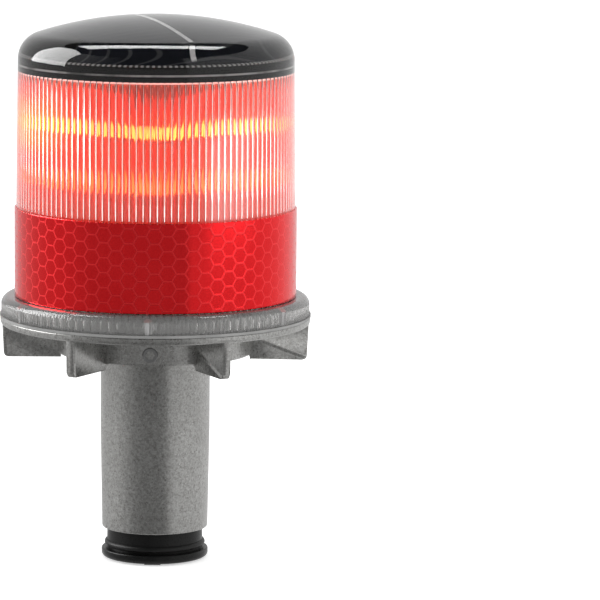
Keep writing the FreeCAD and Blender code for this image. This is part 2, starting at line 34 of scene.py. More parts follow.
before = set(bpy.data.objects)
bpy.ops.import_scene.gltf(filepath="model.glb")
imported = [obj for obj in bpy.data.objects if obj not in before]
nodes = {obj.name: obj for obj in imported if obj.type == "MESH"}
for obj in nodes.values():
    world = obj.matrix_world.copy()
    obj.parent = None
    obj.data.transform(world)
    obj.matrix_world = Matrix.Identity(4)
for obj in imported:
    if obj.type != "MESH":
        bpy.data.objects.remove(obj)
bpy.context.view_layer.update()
MM = 0.001
TURN = 2 * math.pi


def top_of(node):
    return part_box(node)[1].z


def foot_of(node):
    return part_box(node)[0].z


def radius_of(node):
    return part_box(node)[1].x


# ---------------------------------------------------------------- sizes

FLUTES = 125                                  # ribs round the colour drum
SERRATIONS = 250                              # fine ribs round the clamping ring
RIB_STEEPNESS = 0.80                          # 1 makes a rib's section a half circle
LENS_RIB_DEPTH = 0.62 * MM
DRUM_RIB_DEPTH = 0.8 * MM
RIM_NOTCHES = 150                             # fine notches round the tray's rim
HONEYCOMB_COLUMNS = 70                        # hexagon columns round the band
WAFER_TURN = math.radians(26.4)               # from +X to the wafer's fingers
FINGER_SPACING = 4.2 * MM                     # between the wafer's fingers

RING_RADIUS = radius_of("clear_lens")
LENS_FOOT = foot_of("clear_lens")
LENS_TOP = top_of("clear_lens")
RING_TOP = foot_of("reflective_band") - 0.2 * MM
RING_SHOULDER = 3.0 * MM
BAND_RADIUS = radius_of("reflective_band")
BAND_TOP = top_of("reflective_band")
DRUM_RADIUS = BAND_RADIUS - 0.65 * MM         # of the lens under the band
SHELL_RADIUS = DRUM_RADIUS - 0.6 * MM         # of the lens at the dome's foot
LENS_WALL = 2.6 * MM
DRUM_WALL = 1.6 * MM
BAND_THICKNESS = 0.6 * MM
DOME_RADIUS = 145 * MM
CORNER_RADIUS = 10.0 * MM
TRAY_FOOT = foot_of("solar_tray")
TRAY_RIM = top_of("solar_tray")

FLANGE_RADIUS = 57.7 * MM
FLANGE_TOP = foot_of("lens_gasket")
FLANGE_FOOT = foot_of("base_screws") - 0.05 * MM
COLLAR_RADIUS = 36.3 * MM
COLLAR_BORE = 32.8 * MM
COLLAR_FOOT = 77.9 * MM
LUG_RADIUS = 56.5 * MM
LUG_FOOT = 75.5 * MM
LUG_THICKNESS = 3.2 * MM
LUGS = 6
STEM_RADIUS = 20.4 * MM
STEM_ROOT = 75.0 * MM
STEM_STRAIGHT = 50.0 * MM
STEM_END_RADIUS = 19.75 * MM
STEM_END = foot_of("base_casting")
STEM_BORE = 17.3 * MM
MOUTH_BORE = 17.95 * MM
SHARP_ANGLE = math.radians(35)                # edges sharper than this stay creased
HOLD = 0.15 * MM                              # gap to the extra loop that keeps a flat flat


# ---------------------------------------------------------------- mesh helpers


def new_object(name, data):
    made = bpy.data.objects.new(name, data)
    bpy.context.scene.collection.objects.link(made)
    return made


def finish_mesh(name, builder):
    """Turn a bmesh into a smooth-shaded object with creases at its sharp edges."""
    bmesh.ops.remove_doubles(builder, verts=builder.verts, dist=1e-7)
    bmesh.ops.recalc_face_normals(builder, faces=builder.faces)
    mesh = bpy.data.meshes.new(name)
    builder.to_mesh(mesh)
    builder.free()
    mesh.shade_smooth()
    mesh.set_sharp_from_angle(angle=SHARP_ANGLE)
    return new_object(name, mesh)


def arc(centre, radius, start, end, steps):
    """Points of an arc in the (across, up) plane, angles in degrees."""
    points = []
    for step in range(steps + 1):
        angle = math.radians(start + (end - start) * step / steps)
        points.append((centre[0] + radius * math.cos(angle), centre[1] + radius * math.sin(angle)))
    return points


def rounded(corners, steps=6):
    """A closed outline with corners (across, up, round) rounded off and their flats held flat."""
    points = []
    for index, (across, up, round_off) in enumerate(corners):
        here = Vector((across, up))
        before = Vector(corners[index - 1][:2]) - here
        after = Vector(corners[(index + 1) % len(corners)][:2]) - here
        if round_off <= 0:
            points.append((across, up))
            continue
        half = before.angle(after) / 2
        reach = min(round_off / math.tan(half), before.length * 0.49, after.length * 0.49)
        start = here + before.normalized() * reach
        end = here + after.normalized() * reach
        if before.length > 3 * reach + HOLD:
            points.append(tuple(start + before.normalized() * HOLD))
        for step in range(steps + 1):
            share = step / steps
            points.append(tuple(start.lerp(here, share).lerp(here.lerp(end, share), share)))
        if after.length > 3 * reach + HOLD:
            points.append(tuple(end + after.normalized() * HOLD))
    return points


def lathe_into(builder, section, steps, wave=None, closed=True):
    """Turn an (across, up) section round +Z; wave(angle, index) shifts a point's radius."""
    rings = []
    for step in range(steps):
        angle = TURN * step / steps
        ring = []
        for index, (across, up) in enumerate(section):
            radius = across + (wave(angle, index) if wave else 0)
            ring.append(builder.verts.new((radius * math.cos(angle), radius * math.sin(angle), up)))
        rings.append(ring)
    spans = len(section) if closed else len(section) - 1
    for step in range(steps):
        near, far = rings[step], rings[(step + 1) % steps]
        for index in range(spans):
            after = (index + 1) % len(section)
            builder.faces.new((near[index], far[index], far[after], near[after]))


def lathe(name, section, steps, wave=None):
    builder = bmesh.new()
    lathe_into(builder, section, steps, wave)
    return finish_mesh(name, builder)


def slab_into(builder, outline, thickness, turn, soften):
    """An upright plate: an (across, up) outline made thick sideways, turned about +Z."""
    faces = []
    layers = []
    for side in (-thickness / 2, thickness / 2):
        layers.append([builder.verts.new((across, side, up)) for across, up in outline])
    faces.append(builder.faces.new(layers[0]))
    faces.append(builder.faces.new(list(reversed(layers[1]))))
    for index in range(len(outline)):
        after = (index + 1) % len(outline)
        faces.append(builder.faces.new(
            (layers[0][index], layers[1][index], layers[1][after], layers[0][after])))
    edges = {edge for face in faces[:2] for edge in face.edges}
    verts = {vert for face in faces for vert in face.verts}
    made = bmesh.ops.bevel(builder, geom=list(edges), offset=soften, segments=3,
                           affect="EDGES", profile=0.5, clamp_overlap=True)
    verts = verts.union(made["verts"])
    verts = [vert for vert in verts if vert.is_valid]
    spin = (math.cos(turn), math.sin(turn))
    for vert in verts:
        x, y = vert.co.x, vert.co.y
        vert.co.x, vert.co.y = x * spin[0] - y * spin[1], x * spin[1] + y * spin[0]


# ---------------------------------------------------------------- node helpers

class Recipe:
    """A material being written: its tree, its main shader, and short ways to add nodes."""

    def __init__(self, name):
        self.material = bpy.data.materials.new(name)
        self.material.use_nodes = True
        self.tree = self.material.node_tree
        self.shader = self.tree.nodes["Principled BSDF"]
        self.place = self.add("TexCoord").outputs["Object"]

    def add(self, kind, **settings):
        made = self.tree.nodes.new("ShaderNode" + kind)
        for key, value in settings.items():
            setattr(made, key, value)
        return made

    def feed(self, socket, value):
        if isinstance(value, bpy.types.NodeSocket):
            self.tree.links.new(value, socket)
        else:
            socket.default_value = value

    def sum(self, operation, first, second=0.0, third=0.0):
        """Result of one Math node."""
        made = self.add("Math", operation=operation)
        for socket, value in zip(made.inputs, (first, second, third)):
            self.feed(socket, value)
        return made.outputs[0]

    def noise(self, scale, detail=3.0, roughness=0.55):
        made = self.add("TexNoise")
        self.feed(made.inputs["Vector"], self.place)
        made.inputs["Scale"].default_value = scale
        made.inputs["Detail"].default_value = detail
        made.inputs["Roughness"].default_value = roughness
        return made.outputs["Fac"]

    def axes(self):
        """X, Y and Z of the object coordinates."""
        split = self.add("SeparateXYZ")
        self.feed(split.inputs[0], self.place)
        return tuple(split.outputs)

    def between(self, value, low, high, to_low=0.0, to_high=1.0):
        """A smooth step from to_low at low up to to_high at high."""
        made = self.add("MapRange", interpolation_type="SMOOTHSTEP")
        for socket, given in zip(made.inputs, (value, low, high, to_low, to_high)):
            self.feed(socket, given)
        return made.outputs["Result"]

    def mix(self, share, first, second, blend="MIX"):
        made = self.add("Mix", data_type="RGBA", blend_type=blend)
        self.feed(made.inputs["Factor"], share)
        self.feed(made.inputs["A"], first if hasattr(first, "is_linked") else (*first, 1))
        self.feed(made.inputs["B"], second if hasattr(second, "is_linked") else (*second, 1))
        return made.outputs["Result"]

    def bump(self, height, distance, strength):
        made = self.add("Bump")
        made.inputs["Distance"].default_value = distance
        made.inputs["Strength"].default_value = strength
        self.feed(made.inputs["Height"], height)
        self.feed(self.shader.inputs["Normal"], made.outputs["Normal"])

    def set(self, **values):
        """Feed the shader's sockets, named with underscores for spaces."""
        for key, value in values.items():
            name = key.replace("_", " ")
            if isinstance(value, tuple):
                value = (*value, 1)
            self.feed(self.shader.inputs[name], value)

    def dull(self, level=0.0):
        """Set how strongly the surface mirrors its surroundings."""
        self.shader.inputs["Specular IOR Level"].default_value = level


# ---------------------------------------------------------------- materials

def cast_aluminium():
    """Shot-blasted die casting: fine bright grain over a soft grey, rougher in patches."""
    m = Recipe("cast_aluminium")
    grain = m.noise(1500, detail=2, roughness=0.7)
    speckle = m.noise(700, detail=3, roughness=0.7)
    cloud = m.noise(45, detail=3)
    tone = m.mix(m.between(grain, 0.32, 0.70), (0.24, 0.235, 0.225), (0.45, 0.45, 0.44))
    tone = m.mix(m.between(speckle, 0.40, 0.72, 0, 0.40), tone, (0.60, 0.60, 0.59))
    tone = m.mix(m.between(cloud, 0.35, 0.70, 0, 0.25), tone, (0.30, 0.295, 0.285))
    m.set(Base_Color=tone, Metallic=0.95, Roughness=m.between(speckle, 0.3, 0.7, 0.26, 0.36))
    m.bump(grain, 0.08 * MM, 0.5)
    return m.material


def clear_polycarbonate():
    """Polished clear plastic with the faint flow ripple of a moulding."""
    m = Recipe("clear_polycarbonate")
    m.set(Base_Color=(0.97, 0.965, 0.96), Transmission_Weight=1.0, IOR=1.52)
    ripple = m.noise(60, detail=1)
    m.set(Roughness=m.between(ripple, 0.3, 0.7, 0.0, 0.03))
    m.bump(ripple, 0.03 * MM, 0.3)
    return m.material


def painted_led_glow_share(m):
    """Share of the painted amber glow of the upper LEDs: strongest at their level, painted on the
    left flank only.
    """
    x, _, z = m.axes()
    led_level = (foot_of("upper_leds") + top_of("upper_leds")) / 2
    away = m.sum("ABSOLUTE", m.sum("SUBTRACT", z, led_level))
    lit = m.between(away, 4 * MM, 15 * MM, 1.0, 0.0)
    left = m.sum("MULTIPLY", x, -1.0)
    flank = m.between(left, 0.45 * SHELL_RADIUS, 0.85 * SHELL_RADIUS)
    return m.sum("MULTIPLY", lit, flank)


def red_polycarbonate():
    """The colour drum: red plastic with a painted glow, faint red all round, painted amber LED glow
    beside the upper LEDs and a painted pale glow at its top rim.
    """
    m = Recipe("red_polycarbonate")
    amber = painted_led_glow_share(m)
    level = m.axes()[2]
    cloud = m.noise(30, detail=2)
    tint = m.mix(m.between(cloud, 0.3, 0.7), (0.92, 0.18, 0.11), (0.94, 0.24, 0.15))
    # painted pale glow along the drum's top rim
    edge = m.between(level, TRAY_FOOT - 0.7 * MM, TRAY_FOOT - 0.4 * MM)
    # painted glow: faint red, amber where the upper LEDs' light is painted
    glow = m.mix(amber, (1.0, 0.085, 0.045), (1.0, 0.36, 0.05))
    glow = m.mix(edge, glow, (1.0, 0.62, 0.58))
    # strength of the painted glow
    strength = m.sum("MAXIMUM", m.sum("MULTIPLY_ADD", amber, 0.22, 0.09),
                     m.sum("MULTIPLY", edge, 0.7))
    m.set(Base_Color=tint, Transmission_Weight=0.84, Roughness=0.08, IOR=1.49, Emission_Color=glow,
          Emission_Strength=strength)
    return m.material


def rose_polycarbonate():
    """Clear plastic with the drum's colour carried in its inner ribs, and a painted red glow that
    turns amber beside the upper LEDs.
    """
    m = Recipe("rose_polycarbonate")
    amber = painted_led_glow_share(m)
    cloud = m.noise(40, detail=2)
    tint = m.mix(m.between(cloud, 0.3, 0.7), (0.95, 0.36, 0.22), (0.96, 0.42, 0.27))
    # painted amber LED glow mixed into the colour
    tint = m.mix(amber, tint, (0.97, 0.50, 0.10))
    # painted glow, red with amber beside the upper LEDs
    glow = m.mix(amber, (1.0, 0.07, 0.04), (1.0, 0.36, 0.05))
    m.set(Base_Color=tint, Transmission_Weight=1.0, Roughness=0.03, IOR=1.52, Emission_Color=glow,
          Emission_Strength=m.sum("MULTIPLY_ADD", amber, 0.10, 0.05))
    return m.material


def frosted_polycarbonate():
    """The clamping ring: clear plastic with a fine matt grain that greys it."""
    m = Recipe("frosted_polycarbonate")
    grain = m.noise(1800, detail=2)
    shade = m.mix(m.between(grain, 0.3, 0.7), (0.54, 0.535, 0.52), (0.66, 0.655, 0.645))
    m.set(Base_Color=shade, Transmission_Weight=0.80, IOR=1.5,
          Roughness=m.between(grain, 0.3, 0.7, 0.12, 0.24))
    m.bump(grain, 0.03 * MM, 0.5)
    return m.material


def reflective_sheeting():
    """Red honeycomb sheeting: dark cells with lighter sealed seams under a glossy film."""
    m = Recipe("reflective_sheeting")
    x, y, z = m.axes()
    angle = m.sum("ARCTAN2", y, x)
    flat = 1.0
    column = flat * math.sqrt(3) / 2
    across = m.sum("MULTIPLY", angle, HONEYCOMB_COLUMNS * column / TURN)
    cell = TURN * BAND_RADIUS / HONEYCOMB_COLUMNS / column
    up = m.sum("DIVIDE", z, cell)
    corners = []
    for shift_across, shift_up in ((column, 0.5), (0.0, 0.0)):
        x = m.sum("WRAP", m.sum("ADD", across, shift_across), 2 * column, 0.0)
        y = m.sum("WRAP", m.sum("ADD", up, shift_up), flat, 0.0)
        x = m.sum("ABSOLUTE", m.sum("SUBTRACT", x, column))
        y = m.sum("ABSOLUTE", m.sum("SUBTRACT", y, flat / 2))
        slant = m.sum("MULTIPLY_ADD", x, math.sqrt(3) / 2, m.sum("MULTIPLY", y, 0.5))
        corners.append(m.sum("MAXIMUM", y, slant))
    inside = m.sum("SUBTRACT", flat / 2, m.sum("MINIMUM", *corners))
    seam = m.between(inside, 0.02, 0.095, 1.0, 0.0)
    grain = m.noise(2500, detail=2, roughness=0.7)
    cloud = m.noise(90, detail=2)
    red = m.mix(m.between(grain, 0.3, 0.7), (0.74, 0.014, 0.018), (0.90, 0.026, 0.030))
    red = m.mix(m.between(cloud, 0.35, 0.65, 0, 0.25), red, (0.70, 0.012, 0.016))
    red = m.mix(m.sum("MULTIPLY", seam, 0.3), red, (0.86, 0.050, 0.056))
    m.set(Base_Color=red, Metallic=m.between(seam, 0, 1, 0.97, 0.86))
    m.set(Roughness=m.between(seam, 0, 1, 0.11, 0.32))
    m.bump(seam, 0.03 * MM, 0.4)
    return m.material


def moulded_black(name, tone, rough, shine=0.5):
    """Black moulded plastic with a faint spark-eroded grain."""
    m = Recipe(name)
    m.dull(shine)
    grain = m.noise(1800, detail=2, roughness=0.6)
    cloud = m.noise(70, detail=3)
    dark = (tone * 0.8, tone * 0.8, tone * 0.8)
    light = (tone * 1.6, tone * 1.6, tone * 1.55)
    m.set(Base_Color=m.mix(m.between(cloud, 0.3, 0.7), dark, light),
          Roughness=m.between(grain, 0.25, 0.75, rough - 0.06, rough + 0.10))
    m.bump(grain, 0.03 * MM, 0.5)
    return m.material


def tray_plastic():
    """Black tray with a bright broken line round its wall and a painted reflection along its
    notched rim, bright at the notches.
    """
    m = Recipe("tray_plastic")
    x, y, z = m.axes()
    height = m.sum("SUBTRACT", z, TRAY_FOOT)
    line = m.sum("ABSOLUTE", m.sum("SUBTRACT", height, 2.4 * MM))
    line = m.between(line, 0.25 * MM, 0.45 * MM, 1.0, 0.0)
    line = m.sum("MULTIPLY", line, m.between(m.noise(90, detail=4), 0.35, 0.6, 0.2, 1.0))
    # painted reflection along the notched rim: a bright band, brightest at each notch
    angle = m.sum("ARCTAN2", y, x)
    notch = m.sum("SINE", m.sum("MULTIPLY", angle, RIM_NOTCHES))
    rim = m.between(height, TRAY_RIM - TRAY_FOOT - 0.5 * MM, TRAY_RIM - TRAY_FOOT - 0.3 * MM)
    rim = m.sum("MULTIPLY", rim, m.between(notch, -0.4, 0.4, 0.15, 1.0))
    tone = m.mix(line, (0.004, 0.004, 0.004), (0.30, 0.295, 0.29))
    tone = m.mix(rim, tone, (0.26, 0.255, 0.25))
    m.set(Base_Color=tone, Roughness=m.between(m.noise(1500), 0.3, 0.7, 0.32, 0.42))
    m.dull()
    return m.material


def tinted_plastic(name, color, rough=0.4, metallic=0.0):
    """A plain moulded or plated finish with fine grain and a little shade variation."""
    m = Recipe(name)
    grain = m.noise(1500, detail=2)
    cloud = m.noise(110, detail=3)
    darker = tuple(channel * 0.78 for channel in color)
    m.set(Base_Color=m.mix(m.between(cloud, 0.3, 0.7), darker, color), Metallic=metallic,
          Roughness=m.between(grain, 0.25, 0.75, rough - 0.05, rough + 0.08))
    m.bump(grain, 0.02 * MM, 0.4)
    return m.material


def solar_wafer():
    """Dark silicon with fine silver fingers printed across it."""
    m = Recipe("solar_wafer")
    x, y, _ = m.axes()
    along = m.sum("MULTIPLY", x, -math.sin(WAFER_TURN))
    across = m.sum("MULTIPLY_ADD", y, math.cos(WAFER_TURN), along)
    phase = m.sum("WRAP", m.sum("DIVIDE", across, FINGER_SPACING), 0.5, -0.5)
    finger = m.between(m.sum("ABSOLUTE", phase), 0.05, 0.11, 1.0, 0.0)
    cloud = m.noise(25, detail=4)
    blue = m.mix(m.between(cloud, 0.3, 0.7), (0.003, 0.0035, 0.005), (0.006, 0.007, 0.010))
    m.set(Base_Color=m.mix(finger, blue, (0.030, 0.031, 0.033)),
          Roughness=m.between(finger, 0, 1, 0.25, 0.4))
    m.dull()
    return m.material


def glowing_led(name, strength):
    """Lit amber LED epoxy, unevenly bright."""
    m = Recipe(name)
    cloud = m.noise(900, detail=1)
    amber = m.mix(m.between(cloud, 0.3, 0.7), (1.0, 0.66, 0.16), (1.0, 0.82, 0.34))
    m.set(Base_Color=amber, Roughness=0.15, Emission_Color=amber, Emission_Strength=strength)
    return m.material


def circuit_board():
    """Green solder mask with copper tracks showing faintly through it."""
    m = Recipe("circuit_board")
    tracks = m.add("TexBrick", offset=0.37)
    m.feed(tracks.inputs["Vector"], m.place)
    tracks.inputs["Scale"].default_value = 110
    tracks.inputs["Mortar Size"].default_value = 0.03
    tracks.inputs["Color1"].default_value = (0.012, 0.085, 0.035, 1)
    tracks.inputs["Color2"].default_value = (0.010, 0.070, 0.030, 1)
    tracks.inputs["Mortar"].default_value = (0.03, 0.17, 0.07, 1)
    m.set(Base_Color=tracks.outputs["Color"],
          Roughness=m.between(m.noise(300), 0.3, 0.7, 0.3, 0.45))
    return m.material


def white_floor():
    m = Recipe("pale_floor")
    cloud = m.noise(2, detail=2)
    m.set(Base_Color=m.mix(cloud, (0.90, 0.90, 0.90), (0.92, 0.92, 0.92)), Roughness=0.9,
          Emission_Color=(1.0, 1.0, 1.0), Emission_Strength=0.50)
    return m.material


def card(name, level):
    """A studio card that gives back one even brightness."""
    m = Recipe(name)
    m.set(Base_Color=(0.0, 0.0, 0.0), Emission_Color=(1.0, 1.0, 1.0), Emission_Strength=level,
          Roughness=1.0)
    m.dull()
    return m.material


# The drum of card that gloss mirrors.  Angles run from its front towards the light's right.
SURROUND = ((-180, 0.85), (-141, 0.70), (-86, 0.60), (-50, 0.42), (24, 0.42), (28, 0.66),
            (75, 0.74), (121, 0.92), (180, 0.85))     # degrees, brightness
CARD_TURN = math.radians(3)                   # from -Y to the drum's front
DARK_LEFT = (math.radians(-70), math.radians(-25))    # the dark front fades in over this
DARK_RIGHT = (math.radians(23), math.radians(27))     # and ends over this
FRONT_NEAR = 0.20                             # its brightness close to the light
FRONT_MIDDLE = 0.42                           # and further out
FRONT_STEP = (0.42, 0.56)                     # distances out between the two
FRONT_FADE = (0.18, 0.45)                     # heights over which the front darkens
FRONT_HIGH = 0.12                             # share of its brightness left above them
PATCH_NEAR = (math.radians(34), math.radians(52))     # the bright patch sets in over this
PATCH_FAR = (math.radians(66), math.radians(96))      # and fades over this
PATCH_REST = 0.08                             # share of its brightness left beyond
PATCH_STEP = (1.14, 1.22)                     # distances out over which it sets in
PATCH_FADE = (0.03, 0.08)                     # heights over which it ends
PATCH_LEVEL = 2.8


def surround_card():
    """White card all round, dark in front of the light, with a bright patch low on the right."""
    m = Recipe("surround_card")
    x, y, z = m.axes()
    out = m.sum("SQRT", m.sum("MULTIPLY_ADD", x, x, m.sum("MULTIPLY", y, y)))
    angle = m.sum("ARCTAN2", x, m.sum("MULTIPLY", y, -1.0))
    turned = m.sum("WRAP", m.sum("SUBTRACT", angle, CARD_TURN), math.pi, -math.pi)
    ramp = m.add("ValToRGB")
    m.feed(ramp.inputs["Fac"], m.sum("MULTIPLY_ADD", turned, 1 / TURN, 0.5))
    stops = ramp.color_ramp.elements
    while len(stops) < len(SURROUND):
        stops.new(0.5)
    for stop, (degrees, level) in zip(stops, SURROUND):
        stop.position = degrees / 360 + 0.5
        stop.color = (level, level, level, 1)
    side = m.sum("MAXIMUM", m.between(turned, *DARK_RIGHT),
                 m.between(turned, *DARK_LEFT, 1.0, 0.0))
    front = m.between(out, *FRONT_STEP, FRONT_NEAR, FRONT_MIDDLE)
    front = m.sum("MULTIPLY", front, m.between(z, *FRONT_FADE, 1.0, FRONT_HIGH))
    level = m.sum("MULTIPLY", side, ramp.outputs["Color"])
    level = m.sum("MULTIPLY_ADD", m.sum("SUBTRACT", 1.0, side), front, level)
    patch = m.sum("MULTIPLY", m.between(out, *PATCH_STEP), m.between(z, *PATCH_FADE, 1.0, 0.0))
    patch = m.sum("MULTIPLY", patch, m.between(turned, *PATCH_NEAR))
    patch = m.sum("MULTIPLY", patch, m.between(turned, *PATCH_FAR, 1.0, PATCH_REST))
    m.set(Base_Color=(0.0, 0.0, 0.0), Emission_Color=(1.0, 1.0, 1.0), Roughness=1.0,
          Emission_Strength=m.sum("MULTIPLY_ADD", patch, PATCH_LEVEL, level))
    m.dull()
    return m.material


# ---------------------------------------------------------------- pieces

def ride_for(piece, body, *replaced):
    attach(piece, body)
    if replaced:
        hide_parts(*replaced)


def show(piece, material, body, *replaced):
    piece.data.materials.append(material)
    ride_for(piece, body, *replaced)


def rounded_rib(angle, count):
    """Height of a round rib at this angle: 1 on its crest, 0 in the valley."""
    phase = (angle * count / TURN) % 1.0 - 0.5
    edge = math.sqrt(1 - RIB_STEEPNESS ** 2)
    return (math.sqrt(1 - (2 * phase * RIB_STEEPNESS) ** 2) - edge) / (1 - edge)


def make_lens():
    """Ring, drum and dome as one clear solid, potted solid over the panel."""
    reach = SHELL_RADIUS - CORNER_RADIUS
    slant = DOME_RADIUS - CORNER_RADIUS
    sphere_level = LENS_TOP - DOME_RADIUS
    corner_level = sphere_level + math.sqrt(slant ** 2 - reach ** 2)
    tilt = math.degrees(math.atan2(corner_level - sphere_level, reach))
    bore = DRUM_RADIUS - LENS_WALL
    ceiling = TRAY_FOOT + 0.2 * MM
    outer = [(RING_RADIUS, LENS_FOOT), (RING_RADIUS, LENS_FOOT + 1 * MM)]
    outer += arc((RING_RADIUS - RING_SHOULDER, RING_TOP - RING_SHOULDER), RING_SHOULDER, 0, 90, 10)
    outer += [(DRUM_RADIUS + 0.3 * MM, RING_TOP), (DRUM_RADIUS, RING_TOP + 0.3 * MM)]
    outer += [(DRUM_RADIUS, BAND_TOP), (SHELL_RADIUS, corner_level)]
    outer += arc((reach, corner_level), CORNER_RADIUS, 0, tilt, 16)[1:]
    outer += arc((0, sphere_level), DOME_RADIUS, tilt, 90, 24)[1:]
    outer[-1] = (0.0, LENS_TOP)
    inner = [(0.0, ceiling), (bore - 2 * MM, ceiling), (bore - 0.9 * MM, ceiling)]
    inner += [(bore, ceiling - 1.2 * MM), (bore, BAND_TOP), (bore, RING_TOP), (bore, LENS_FOOT)]
    first_inner = len(outer)
    fluted = range(first_inner + 3, first_inner + 6)
    serrated = {0: 0.2 * MM, 1: 0.2 * MM, 2: 0.2 * MM, 3: 0.2 * MM, 4: 0.15 * MM, 5: 0.1 * MM}

    def rib(angle, index):
        fine = (rounded_rib(angle, SERRATIONS) - 1) * serrated.get(index, 0.0)
        return fine - rounded_rib(angle, FLUTES) * LENS_RIB_DEPTH * (index in fluted)

    piece = lathe("lens", outer + inner, steps=SERRATIONS * 6, wave=rib)
    for material in (clear_polycarbonate(), rose_polycarbonate(), frosted_polycarbonate()):
        piece.data.materials.append(material)
    for face in piece.data.polygons:
        across = math.hypot(face.center.x, face.center.y)
        if across < DRUM_RADIUS - 1.2 * MM and RING_TOP < face.center.z < ceiling - 1.5 * MM:
            face.material_index = 1
        elif across > DRUM_RADIUS + 0.5 * MM:
            face.material_index = 2
    ride_for(piece, "light", "clear_lens", "dome_potting")


def make_drum():
    """The red drum, ribbed outside between the lens's ribs, with a plain rim at each end."""
    low, high = foot_of("colour_drum"), top_of("colour_drum")
    outside = radius_of("colour_drum")
    inside = outside - DRUM_WALL
    section = [
        (inside, low), (outside, low), (outside, low + 1.2 * MM), (outside, low + 2.0 * MM),
        (outside, high - 2.6 * MM), (outside, high - 1.6 * MM), (outside, high), (inside, high)]

    def rib(angle, index):
        valley = 1 - rounded_rib(angle + TURN / FLUTES / 2, FLUTES)
        return -valley * DRUM_RIB_DEPTH * (index in (3, 4))

    piece = lathe("drum", section, steps=FLUTES * 12, wave=rib)
    show(piece, red_polycarbonate(), "light", "colour_drum")


def make_band():
    low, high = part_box("reflective_band")
    inside = BAND_RADIUS - BAND_THICKNESS
    piece = lathe("band", rounded([
        (inside, low.z, 0), (BAND_RADIUS, low.z, 0.15 * MM),
        (BAND_RADIUS, high.z, 0.15 * MM), (inside, high.z, 0)], steps=3), steps=384)
    show(piece, reflective_sheeting(), "light", "reflective_band")


def make_casting():
    """Flange, collar and stem with cast rounds, and the six lugs run through the collar."""
    builder = bmesh.new()
    edge = 0.7 * MM
    fillet = 1.5 * MM
    lathe_into(builder, rounded([
        (MOUTH_BORE, STEM_END, 0.4 * MM),
        (STEM_END_RADIUS, STEM_END, 1.2 * MM),
        (STEM_RADIUS, STEM_STRAIGHT, 0),
        (STEM_RADIUS, STEM_ROOT, 0),
        (STEM_RADIUS + 0.3 * MM, STEM_ROOT + 0.6 * MM, 0),
        (STEM_RADIUS + 0.3 * MM, FLANGE_FOOT, fillet),
        (COLLAR_BORE, FLANGE_FOOT, fillet),
        (COLLAR_BORE, COLLAR_FOOT, edge),
        (COLLAR_RADIUS, COLLAR_FOOT, edge),
        (COLLAR_RADIUS, FLANGE_FOOT, fillet),
        (FLANGE_RADIUS, FLANGE_FOOT, 1.4 * MM),
        (FLANGE_RADIUS, FLANGE_TOP, 0.5 * MM),
        (STEM_BORE, FLANGE_TOP, 0.3 * MM),
        (STEM_BORE, STEM_END + 14 * MM, 0),
        (MOUTH_BORE, STEM_END + 13.2 * MM, 0),
    ]), 256)
    lug = rounded([
        (STEM_RADIUS - 1 * MM, COLLAR_FOOT, 0),
        (COLLAR_RADIUS - 1 * MM, COLLAR_FOOT, 0),
        (COLLAR_RADIUS - 1 * MM, LUG_FOOT, 0),
        (LUG_RADIUS, LUG_FOOT, 1.6 * MM),
        (FLANGE_RADIUS - 0.4 * MM, FLANGE_FOOT + 1.6 * MM, 0),
        (STEM_RADIUS - 1 * MM, FLANGE_FOOT + 1.6 * MM, 0),
    ])
    for count in range(LUGS):
        slab_into(builder, lug, LUG_THICKNESS, TURN * count / LUGS, soften=0.55 * MM)
    piece = finish_mesh("casting", builder)
    show(piece, cast_aluminium(), "light", "base_casting")


def repaint(node, material):
    """Give a CAD node one finished material all over."""
    mesh = nodes[node].data
    mesh.materials.clear()
    mesh.materials.append(material)


def repaint_carried_nodes():
    """Give every CAD node that has no separate piece a finished material."""
    steel = tinted_plastic("zinc_plate", (0.62, 0.62, 0.64), rough=0.32, metallic=1.0)
    brass = tinted_plastic("brass", (0.80, 0.58, 0.24), rough=0.3, metallic=1.0)
    red_sleeve = tinted_plastic("red_sleeve", (0.55, 0.02, 0.02))
    white_mask = tinted_plastic("white_mask", (0.80, 0.80, 0.78), rough=0.35)
    finishes = {
        "lens_gasket": tinted_plastic("gasket_rubber", (0.24, 0.24, 0.235), rough=0.6),
        "base_screws": steel, "board_screws": steel, "cap_spring": steel, "cell_button": steel,
        "cell_busbar": tinted_plastic("tinned_ribbon", (0.85, 0.85, 0.85), 0.35, 0.6),
        "top_contact": brass, "cap_contact": brass,
        "solar_tray": tray_plastic(),
        "solar_panel": moulded_black("panel_black", 0.004, 0.3, 0),
        "solar_cell": solar_wafer(),
        "control_board": circuit_board(),
        "driver_chip": moulded_black("chip_black", 0.02, 0.5),
        "charge_coil": tinted_plastic("ferrite", (0.10, 0.10, 0.10), rough=0.6),
        "smoothing_capacitor": tinted_plastic("capacitor_sleeve", (0.03, 0.05, 0.12), 0.25),
        "led_column": tinted_plastic("white_plastic", (0.85, 0.84, 0.80), rough=0.4),
        "lower_led_board": white_mask, "upper_led_board": white_mask,
        "lower_leds": glowing_led("led_dim", 4.0),
        "upper_leds": glowing_led("led_lit", 13.0),
        "battery_cell": tinted_plastic("cell_wrap", (0.06, 0.20, 0.10), rough=0.25),
        "contact_holder": moulded_black("insulator_black", 0.03, 0.5),
        "battery_cap": moulded_black("cap_black", 0.005, 0.30, 0.17),
        "cap_seal": moulded_black("seal_black", 0.006, 0.4, 0.2),
        "cap_feet": moulded_black("feet_black", 0.014, 0.6),
        "mode_switch": moulded_black("switch_black", 0.02, 0.45),
        "switch_lever": tinted_plastic("lever_ivory", (0.75, 0.73, 0.66), rough=0.4),
        "lock_screw": tinted_plastic("oxidised_steel", (0.30, 0.30, 0.30), 0.45, 0.9),
        "positive_lead": red_sleeve, "solar_leads": red_sleeve,
        "negative_lead": tinted_plastic("black_sleeve", (0.02, 0.02, 0.02)),
    }
    for node, material in finishes.items():
        repaint(node, material)


# ---------------------------------------------------------------- studio

